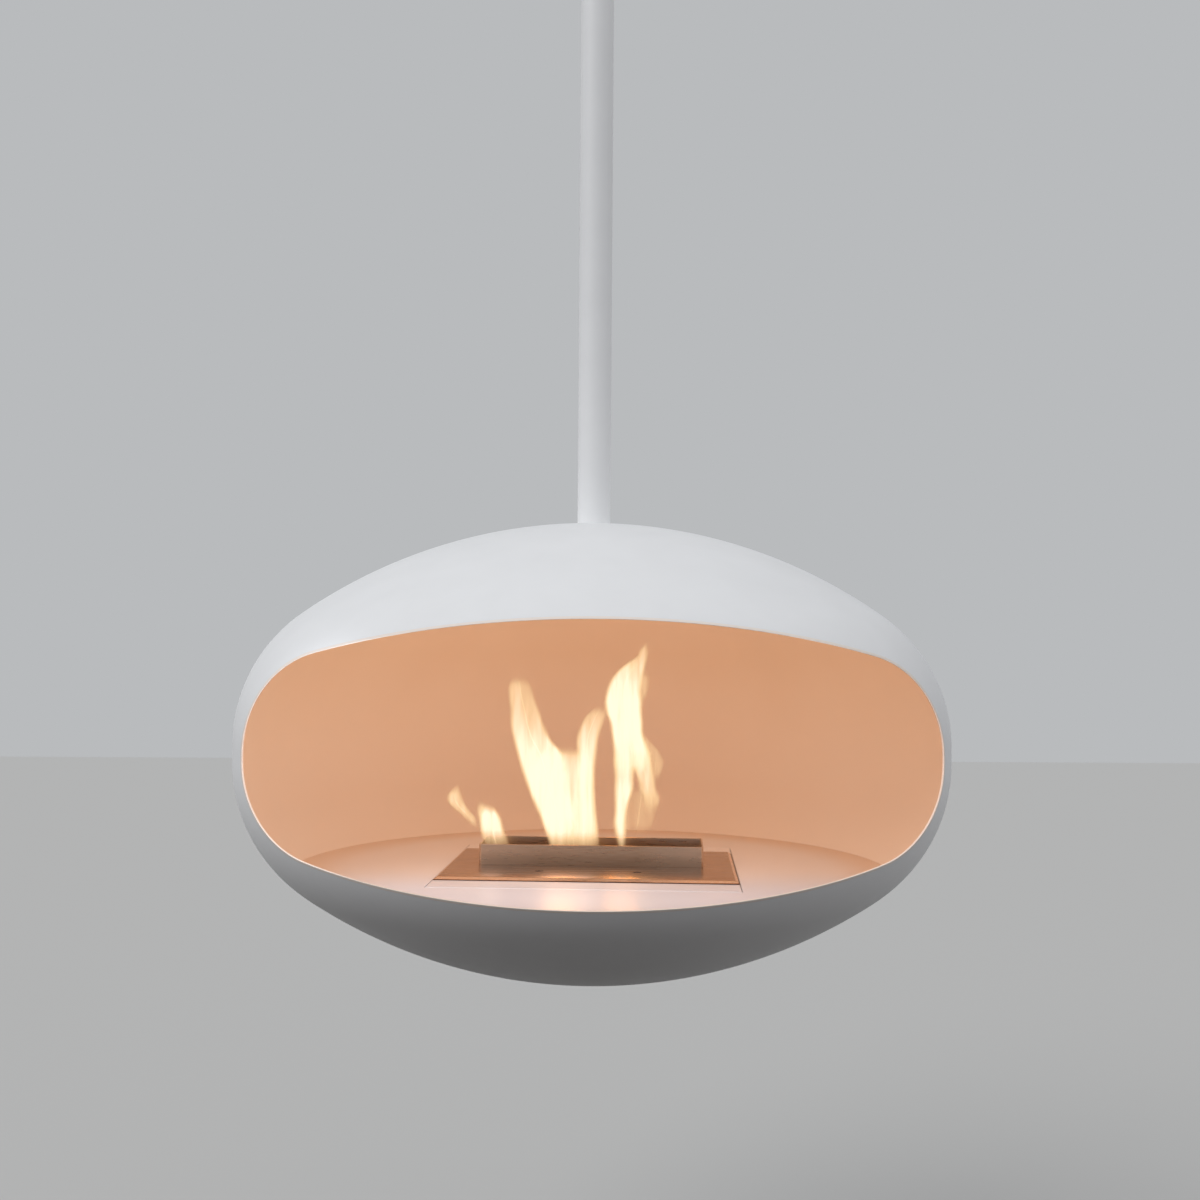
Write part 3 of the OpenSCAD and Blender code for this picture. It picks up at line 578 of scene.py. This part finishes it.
def sheet_edge(first_x, last_x, first_y, last_y):
    """The points of the tray's grid round a rectangle, starting and ending at its front left corner."""
    x, y = lines_between(across_lines, first_x, last_x), lines_between(deep_lines, first_y, last_y)
    around_x = [x, np.full(len(y), x[-1]), x[::-1], np.full(len(y), x[0])]
    around_y = [np.full(len(x), y[0]), y, np.full(len(x), y[-1]), y[::-1]]
    return np.concatenate(around_x), np.concatenate(around_y)


def tray_grids():
    """The flat sheet in blocks round the slot and the lifting holes, top and bottom; the walls of the slot;
    a ring from each square to its hole and down it; and the folded edge, carried round with mitred
    corners."""
    hole_y = (lift_hole_y - square_half, lift_hole_y + square_half)
    columns = [-tray_half_w, -lift_hole_x - square_half, -lift_hole_x + square_half,
               lift_hole_x - square_half, lift_hole_x + square_half, tray_half_w]
    blocks = [(-tray_half_w, tray_half_w, slot_y_range[1], tray_half_d),
              (-tray_half_w, -slot_half_w, *slot_y_range), (slot_half_w, tray_half_w, *slot_y_range),
              (-tray_half_w, tray_half_w, hole_y[1], slot_y_range[0]),
              (-tray_half_w, tray_half_w, -tray_half_d, hole_y[0])]
    blocks += [(columns[i], columns[i + 1], *hole_y) for i in (0, 2, 4)]
    grids = []
    for x0, x1, y0, y1 in blocks:
        for z in (0, -sheet_t):
            grids.append(on_floor(lines_between(across_lines, x0, x1)[None, :],
                                  lines_between(deep_lines, y0, y1)[:, None], z + tray_top))
    x, y = sheet_edge(-slot_half_w, slot_half_w, *slot_y_range)
    grids.append(on_floor(x, y, np.array([[0], [-sheet_t]]) + tray_top))
    for side in (-1, 1):
        x, y = sheet_edge(side * lift_hole_x - square_half, side * lift_hole_x + square_half, *hole_y)
        turn = np.arctan2(y - lift_hole_y, x - side * lift_hole_x)
        share = np.array([0, 0.5, 1, 1, 0.5, 0])[:, None]
        ring_x = x * (1 - share) + (side * lift_hole_x + lift_hole_r * np.cos(turn)) * share
        ring_y = y * (1 - share) + (lift_hole_y + lift_hole_r * np.sin(turn)) * share
        grids.append(on_floor(ring_x, ring_y, np.array([0, 0, 0, -1, -1, -1])[:, None] * sheet_t + tray_top))
    x, y = sheet_edge(-tray_half_w, tray_half_w, -tray_half_d, tray_half_d)
    out, z = np.array(skirt).T[:, :, None] * MM
    x = x + out * np.sign(x) * (np.abs(x) > tray_half_w - 1e-6)
    y = y + out * np.sign(y) * (np.abs(y) > tray_half_d - 1e-6)
    return grids + [on_floor(x, y, z + tray_top)]


def down_the_folds(grids):
    """How far down a folded edge each point lies, from 0 on the flat sheet to 1. The last grid is the
    folded edge. Most of its right side gets more painted shade, so a point there counts as further down than
    it is."""
    fold = grids[-1]
    down = np.clip((tray_top - fold[..., 2]) / fold_drop, 0, 1)
    down = np.where(fold[..., 0] > shaded_side_from, np.minimum(side_shade_gain * down, 1), down)
    return np.concatenate([np.zeros(sum(g[..., 0].size for g in grids[:-1])), down.ravel()])


grids = tray_grids()
make_piece("burner_tray_folded", grids, steel, "burner", "stainless_steel", ["burner_tray"], crease=25,
           down_the_fold=down_the_folds(grids))

# The same steel next to the flames: browned by their heat, less towards the collar's ends, with fainter
# brush lines
browned, tree = new_material("heat_browned_stainless_steel")
place = add(tree, "ShaderNodeTexCoord").outputs["Object"]
lines = long_noise(tree, place, (900 * MM, 1.5 * MM, 1.5 * MM), 1.0, -floor_turn)
tint = noise(tree, place, 90 * MM, 0.0)
aside = add(tree, "ShaderNodeSeparateXYZ", {0: place}).outputs["X"]
aside = add(tree, "ShaderNodeMath", {0: aside}, operation="ABSOLUTE").outputs[0]
to_end = ramp(tree, aside, (0.06, 0.14))
brown = mix(tree, tint, srgb("#b69d87"), srgb("#a5876e"))
brown = mix(tree, to_end, brown, srgb("#cdb9a8"))
tone = mix(tree, lines, brown, srgb("#bfa995"))
rough = ramp(tree, lines, wanted=(0.24, 0.34))
bump = bumps(tree, lines, 0.1, 0.01 * MM)
surface(tree, {"Base Color": tone, "Metallic": 1.0, "Roughness": rough, "Normal": bump})

collar_w = 287 * MM
collar_d = 85 * MM
collar_h = 26 * MM
collar_t = 2 * MM
collar_r = 4 * MM
collar_y = sum(slot_y_range) / 2
foot_edge = 0.1 * MM
top_edge = 0.9 * MM
wall = rounded([(0, 0), (0, collar_h), (collar_t, collar_h), (collar_t, 0)],
               [foot_edge, top_edge, top_edge, foot_edge])
loops = []
for inset, height in np.concatenate([wall, wall[:1]]):
    half_w, half_d, r = collar_w / 2 - inset, collar_d / 2 - inset, collar_r - inset
    loop = rounded([(half_w, -half_d), (half_w, half_d), (-half_w, half_d), (-half_w, -half_d)], [r] * 4)
    loop = np.concatenate([loop, loop[:1]])
    loops.append(on_floor(loop[:, 0], loop[:, 1] + collar_y, height + tray_top))
make_piece("burner_collar_folded", [np.stack(loops)], browned, "burner", "stainless_steel", ["burner_collar"],
           crease=25)


# Fuel store inside the tank: a block of ceramic wool that soaks up the bioethanol, under a plate with slots
# that keeps it down.

# Ceramic wool: off-white, matt and fibrous, with fibres about 2 mm long and yellowed patches
wool, tree = new_material("ceramic_wool")
place = add(tree, "ShaderNodeTexCoord").outputs["Object"]
patch = noise(tree, place, 25 * MM, 4.0)
tone = mix(tree, patch, srgb("#cfc8b4"), srgb("#e6e1d5"))
bump = bumps(tree, noise(tree, place, 2 * MM, 5.0, 2.0), 0.8, 0.6 * MM)
surface(tree, {"Base Color": tone, "Roughness": 0.95, "Normal": bump})
finish_nodes(wool, "wool_block")

# Perforated steel darkened by the flames: blue-brown heat colours, with pin holes 3 mm apart drawn as
# near-black dots of painted shade
pierced, tree = new_material("heat_stained_perforated_steel")
place = add(tree, "ShaderNodeTexCoord").outputs["Object"]
stain = noise(tree, place, 30 * MM, 3.0)
tone = mix(tree, stain, srgb("#5c4a3f"), srgb("#6d6a72"))
holes = add(tree, "ShaderNodeTexVoronoi", {"Vector": place, "Scale": 1 / (3 * MM), "Randomness": 0.0})
open_part = ramp(tree, holes.outputs["Distance"], (0.2, 0.3))
dark = mix(tree, open_part, srgb("#120d0a"), tone)
bump = bumps(tree, open_part, 0.6, 0.3 * MM)
surface(tree, {"Base Color": dark, "Metallic": 0.9, "Roughness": 0.45, "Normal": bump})
finish_nodes(pierced, "mesh_cover")


# Flames: burning ethanol vapour over the slot. Each flame is a few strands, and a strand is two thin sheets
# crossed on its middle line, so that it has body from every side. They go down when the damper shuts the
# slot.

# Flame: light of its own, clear orange where it is thin, then yellow, then almost white, with fine upright
# streaks about 7 mm apart
fire, tree = new_material("ethanol_flame")
place = add(tree, "ShaderNodeTexCoord").outputs["Object"]
streak = long_noise(tree, place, (7 * MM, 7 * MM, 70 * MM), 2.0)
uneven = ramp(tree, streak, (0.3, 0.7), (-0.14, 0.14))
heat = add(tree, "ShaderNodeAttribute", attribute_name="warmth").outputs["Fac"]
heat = add(tree, "ShaderNodeMath", {0: heat, 1: uneven}, operation="ADD").outputs[0]
to_yellow = ramp(tree, heat, (0.05, 0.45))
to_white = ramp(tree, heat, (0.5, 0.95))
yellow = mix(tree, to_yellow, srgb("#bd946a"), srgb("#dab88a"))
white = mix(tree, to_white, yellow, srgb("#ffd3b6"))
thinned = ramp(tree, streak, (0.3, 0.6), (0.75, 1.0))
cover = add(tree, "ShaderNodeAttribute", attribute_name="cover").outputs["Fac"]
cover = add(tree, "ShaderNodeMath", {0: cover, 1: thinned}, operation="MULTIPLY")
surface(tree, {
    "Base Color": srgb("#000000"), "Roughness": 1.0, "Specular IOR Level": 0.0,
    "Emission Color": white, "Emission Strength": 1.68, "Alpha": cover.outputs[0],
})

# Strands of each flame, from station to station: a height over the tray's top, the strand's left edge and
# right edge there in millimetres, and its heat, from 0, clear and orange, to 1, almost white. A strand that
# starts at -6 stands in the slot.
FLAMES = {
    "left": [
        [(37, -154, -141, 0.3), (47, -163, -145, 0.45), (57, -171, -151, 0.5), (66, -182, -159, 0.6),
         (75, -190, -165, 0.65), (84, -191, -168, 0.6), (93, -186, -169, 0.5), (102, -179, -169, 0.3)],
        [(-6, -143, -106, 0.54), (19, -143, -106, 0.6), (27, -145, -108, 0.75), (41, -148, -113, 0.95),
         (52, -149, -116, 1), (61, -149, -120, 0.95), (70, -148, -125, 0.7), (77, -141, -126, 0.3)],
        [(41, -149, -135, 0.5), (57, -152, -135, 0.6), (71, -153, -137, 0.5), (82, -152, -142, 0.3)],
    ],
    "middle": [
        [(-6, -56, 10, 0.5), (20, -56, 10, 0.55), (35, -59, 10, 0.7), (63, -68, 7, 0.8), (92, -80, 5, 0.8),
         (115, -84, 3, 0.8), (132, -74, -2, 0.7), (143, -65, -13, 0.5), (153, -53, -26, 0.3)],
        [(-6, -57, -25, 0.54), (20, -57, -25, 0.6), (35, -62, -20, 0.85), (59, -71, -18, 1),
         (87, -83, -25, 1), (115, -93, -29, 1), (139, -100, -36, 0.95), (158, -105, -52, 0.85),
         (176, -109, -60, 0.7), (195, -110, -67, 0.6), (214, -112, -74, 0.55), (231, -112, -79, 0.45),
         (244, -107, -87, 0.3)],
        [(-6, -31, 12, 0.5), (20, -31, 12, 0.55), (35, -29, 11, 0.8), (64, -28, 8, 0.9), (92, -25, 6, 0.9),
         (116, -23, 6, 0.95), (140, -22, 8, 0.9), (161, -22, 11, 0.75), (177, -17, 16, 0.6),
         (192, -9, 21, 0.45), (207, 5, 24, 0.3)],
    ],
    "right": [
        [(-6, 32, 46, 0.63), (21, 32, 46, 0.7), (36, 28, 47, 0.85), (51, 26, 47, 0.95), (65, 27, 48, 0.95),
         (79, 27, 51, 0.95), (94, 27, 56, 0.95), (108, 27, 57, 0.85), (129, 26, 58, 0.8),
         (151, 25, 59, 0.8)],
        [(109, 26, 61, 0.6), (122, 26, 74, 0.75), (137, 26, 78, 0.85), (151, 25, 74, 0.95),
         (165, 23, 69, 1), (180, 21, 68, 1), (194, 16, 67, 1), (208, 14, 67, 1), (221, 16, 66, 0.95),
         (233, 20, 67, 0.9), (243, 26, 68, 0.8), (251, 33, 70, 0.7), (259, 43, 72, 0.6), (266, 53, 74, 0.5),
         (275, 58, 75, 0.42), (283, 62, 76, 0.36), (291, 67, 77, 0.3)],
        [(237, 26, 62, 0.7), (247, 32, 60, 0.55), (257, 41, 60, 0.45), (269, 45, 58, 0.3)],
        [(58, 69, 87, 0.12), (71, 67, 90, 0.3), (83, 64, 91, 0.45), (93, 60, 87, 0.65), (104, 58, 85, 0.75),
         (118, 54, 83, 0.75), (133, 50, 80, 0.8), (147, 48, 76, 0.85), (161, 46, 71, 0.9)],
        [(99, 73, 87, 0.24), (116, 71, 93, 0.32), (129, 69, 96, 0.36), (143, 63, 90, 0.34),
         (157, 60, 78, 0.32), (173, 59, 69, 0.26)],
        [(31, 38, 75, 0.21), (46, 38, 82, 0.24), (65, 38, 87, 0.26), (81, 40, 89, 0.28), (91, 42, 86, 0.28),
         (101, 45, 80, 0.26)],
        [(199, 59, 68, 0.2), (216, 58, 74, 0.3), (233, 59, 78, 0.32), (246, 60, 78, 0.28),
         (254, 63, 74, 0.2)],
    ],
}
soft_edge = 6 * MM
warm_edge = 9 * MM
end_fade = 18 * MM
foot_low = 14 * MM
foot_fade = 24 * MM
strand_gap = 2.5 * MM
sheet_bulge = 0.8 * MM
depth_share = 0.5
widest_edge = 0.45
least_edge = 0.1 * MM
least_half_w = 0.2 * MM
edge_heat = 0.25
crossed_edge_heat = 0.7
most_cover = 0.97
cover_power = 0.7
foot_share = 0.3


def strand_curves(stations, z):
    """Left edge, right edge and heat of a strand at heights z: cubic curves through its stations, each with
    the slope that its neighbours give."""
    table = np.array(stations, float) * [MM, MM, MM, 1]
    heights, sides = table[:, 0], table[:, 1:]
    slopes = np.gradient(sides, heights, axis=0)
    at = np.clip(np.searchsorted(heights, z) - 1, 0, len(heights) - 2)
    span = (heights[at + 1] - heights[at])[..., None]
    t = np.clip((z - heights[at])[..., None] / span, 0, 1)
    curve = sides[at] * (2 * t**3 - 3 * t**2 + 1) + slopes[at] * (t**3 - 2 * t**2 + t) * span
    curve = curve + sides[at + 1] * (3 * t**2 - 2 * t**3) + slopes[at + 1] * (t**3 - t**2) * span
    return curve[..., 0], curve[..., 1], np.clip(curve[..., 2], 0, 1)


def strand_share(stations, x, z, edge):
    """How much of a strand there is at a point, and its heat there. The share is 0 at the strand's two edges
    and at its tip, and 1 further in than a soft edge, with a smooth step between. A strand that starts
    above the tray fades at its low end as well."""
    left, right, heat = strand_curves(stations, z)
    foot, tip = stations[0][0] * MM, stations[-1][0] * MM
    soft = np.maximum(np.minimum(edge, (right - left) * widest_edge), least_edge)
    share = np.clip(np.minimum(x - left, right - x) / soft, 0, 1) * np.clip((tip - z) / end_fade, 0, 1)
    if foot > 0:
        share = share * np.clip((z - foot) / end_fade, 0, 1)
    return share * share * (3 - 2 * share) * ((z >= foot) & (z <= tip)), heat


def flame_sheets(strands, rows=90, columns=21):
    """Two crossed sheets for each strand, and the heat and cover at their points. A sheet is a closed lens
    between the strand's edges. The heat is the most that any strand of the flame gives there, so that no
    edge shows inside the flame, and the crossed sheet is a little cooler at its edges. Both faces of a
    sheet are seen, so each lets the root of the whole sheet's share of light through."""
    grids, heats, covers = [], [], []
    across = np.linspace(-1, 1, columns)[None, :]
    fullness = np.sin(math.pi * np.linspace(0, 1, rows))[:, None]
    for number, stations in enumerate(strands):
        z = np.linspace(stations[0][0], stations[-1][0], rows)[:, None] * MM
        left, right, heat = strand_curves(stations, z)
        middle, half = (left + right) / 2, np.maximum((right - left) / 2, least_half_w)
        plane = collar_y + math.tan(floor_turn) * middle + (number - 1) * strand_gap
        rise = foot_share + (1 - foot_share) * np.clip((z - foot_low) / foot_fade, 0, 1)
        for crossed in (False, True):
            x = middle + across * half * (0 if crossed else 1)
            share, own = strand_share(stations, middle + across * half, z, soft_edge)
            parts = [strand_share(other, x, z, warm_edge) for other in strands]
            hottest = np.max([h * (edge_heat * (s > 0) + (1 - edge_heat) * s) for s, h in parts], 0)
            if crossed:
                hottest = hottest * (crossed_edge_heat + (1 - crossed_edge_heat) * share)
            cover = 1 - np.sqrt(1 - share * most_cover * own**cover_power * rise)
            for face in (-1, 1):
                bulge = face * sheet_bulge * (1 - across**2) * fullness
                if crossed:
                    grid = np.broadcast_arrays(x + bulge, plane + across * half * depth_share, z + tray_top)
                else:
                    grid = np.broadcast_arrays(x, plane + bulge, z + tray_top)
                grids.append(np.stack(grid, -1))
                heats.append(np.broadcast_to(hottest * rise, (rows, columns)).ravel())
                covers.append(np.broadcast_to(cover, (rows, columns)).ravel())
    return grids, np.concatenate(heats), np.concatenate(covers)


for name, strands in FLAMES.items():
    grids, heats, covers = flame_sheets(strands)
    flame = make_piece(f"flame_{name}", grids, fire, "burner", "stainless_steel", warmth=heats, cover=covers)
    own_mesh(flame)


# Studio: a pale floor well below the pod, a soft key light from the upper left front, a level fill from the
# right and a plain sky. The floor looks pale to the camera and in gloss, and lights the underside only a
# little.

floor_drop = 0.65
floor_z = cad_box[0][2] - floor_drop
floor_half = 12.0
backdrop_colour = srgb("#b9bbbd")


def seen_directly(tree):
    """1 where the camera, a mirror image or clear material shows the background, and 0 for the light it
    gives."""
    path = add(tree, "ShaderNodeLightPath").outputs
    eye, mirror, clear = path["Is Camera Ray"], path["Is Glossy Ray"], path["Is Transmission Ray"]
    seen = add(tree, "ShaderNodeMath", {0: eye, 1: mirror}, operation="MAXIMUM")
    return add(tree, "ShaderNodeMath", {0: seen.outputs[0], 1: clear}, operation="MAXIMUM").outputs[0]


# Plain floor: pale where it is seen, and darker in the light that it throws back
stone, tree = new_material("plain_floor")
tone = mix(tree, seen_directly(tree), srgb("#37312d"), srgb("#c8c8c6"))
shader = add(tree, "ShaderNodeBsdfDiffuse", {"Color": tone})
add(tree, "ShaderNodeOutputMaterial", {"Surface": shader.outputs[0]})
ground_mesh = bpy.data.meshes.new("studio_floor")
square = [(x * floor_half, y * floor_half, floor_z) for x, y in ((-1, -1), (1, -1), (1, 1), (-1, 1))]
ground_mesh.from_pydata(square, [], [(0, 1, 2, 3)])
ground_mesh.materials.append(stone)
studio_floor = bpy.data.objects.new("studio_floor", ground_mesh)
bpy.context.scene.collection.objects.link(studio_floor)

world = bpy.data.worlds.new("studio")
world.use_nodes = True
tree = world.node_tree
tree.nodes.clear()
sky = mix(tree, seen_directly(tree), srgb("#bcbdc0"), backdrop_colour)
light = add(tree, "ShaderNodeBackground", {"Color": sky, "Strength": 1.0})
add(tree, "ShaderNodeOutputWorld", {"Surface": light.outputs[0]})
bpy.context.scene.world = world


def sun(name, strength, spread, tilt, turn, colour="#ffffff"):
    """A far soft light: strength in watts a square metre, spread its width in degrees, tilt from straight
    down and turn about the vertical in degrees."""
    lamp = bpy.data.lights.new(name, "SUN")
    lamp.energy = strength
    lamp.angle = math.radians(spread)
    lamp.color = srgb(colour)[:3]
    holder = bpy.data.objects.new(name, lamp)
    holder.rotation_euler = (math.radians(tilt), 0, math.radians(turn))
    bpy.context.scene.collection.objects.link(holder)


sun("key", 1.3, 42, 51.5, -48)
sun("fill", 0.48, 40, 84, 78)


def flame_lamp(name, power, radius, x, height, colour, mirrored):
    """A soft round lamp over the slot, which stands for the flames' light and goes with the burner. The
    camera doesn't see it, and polished metal does where mirrored is true."""
    lamp = bpy.data.lights.new(name, "POINT")
    lamp.energy = power
    lamp.shadow_soft_size = radius
    lamp.color = srgb(colour)[:3]
    holder = bpy.data.objects.new(name, lamp)
    holder.location = (x, collar_y, tray_top + height)
    holder.visible_camera = False
    holder.visible_glossy = mirrored
    bpy.context.scene.collection.objects.link(holder)
    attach(holder, "burner")


flame_lamp("middle_flame_light", 0.25, 0.025, -0.04, 0.08, "#ffb060", True)
flame_lamp("right_flame_light", 0.15, 0.02, 0.038, 0.08, "#ffb060", True)
flame_lamp("chamber_light", 0.64, 0.12, 0, 0.16, "#f6faff", False)


def chamber_panel(name, power, width, height, place, tilt, colour):
    """A wide soft lamp inside the chamber that nothing mirrors and the camera doesn't see. It stands for
    the light that the walls throw on each other and turns with the pod. Tilt turns it from facing down."""
    lamp = bpy.data.lights.new(name, "AREA")
    lamp.shape = "RECTANGLE"
    lamp.size = width
    lamp.size_y = height
    lamp.energy = power
    lamp.color = srgb(colour)[:3]
    holder = bpy.data.objects.new(name, lamp)
    holder.location = place
    holder.rotation_euler = (math.radians(tilt), 0, 0)
    holder.visible_camera = False
    holder.visible_glossy = False
    bpy.context.scene.collection.objects.link(holder)
    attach(holder, "pod")


chamber_panel("dome_light", 0.58, 0.4, 0.4, (-0.03, 0, tray_top + 0.06), 180, "#ffffff")
chamber_panel("mouth_light", 0.88, 0.6, 0.14, (-0.06, -0.35, pod_z + 0.04), 95, "#f4f8ff")


# Camera: level, a little above the pod's equator and 1.81 m in front of it, as the photograph was taken.
camera_aside = 0.009
camera_reach = 1.808
camera_rise = 0.125
camera_round = math.radians(-1)
camera_lean = math.radians(0.4)
frame_shift = 52 / 1200
camera = bpy.data.cameras.new("camera")
camera.sensor_width = 36
camera.lens = 42
camera.shift_y = frame_shift
view = bpy.data.objects.new("camera", camera)
view.location = (
    camera_aside + camera_reach * math.sin(camera_round),
    -camera_reach * math.cos(camera_round),
    pod_z + camera_rise,
)
view.rotation_euler = (math.radians(90), -camera_lean, camera_round)
bpy.context.scene.collection.objects.link(view)
bpy.context.scene.camera = view
bpy.context.scene.view_settings.view_transform = "Standard"
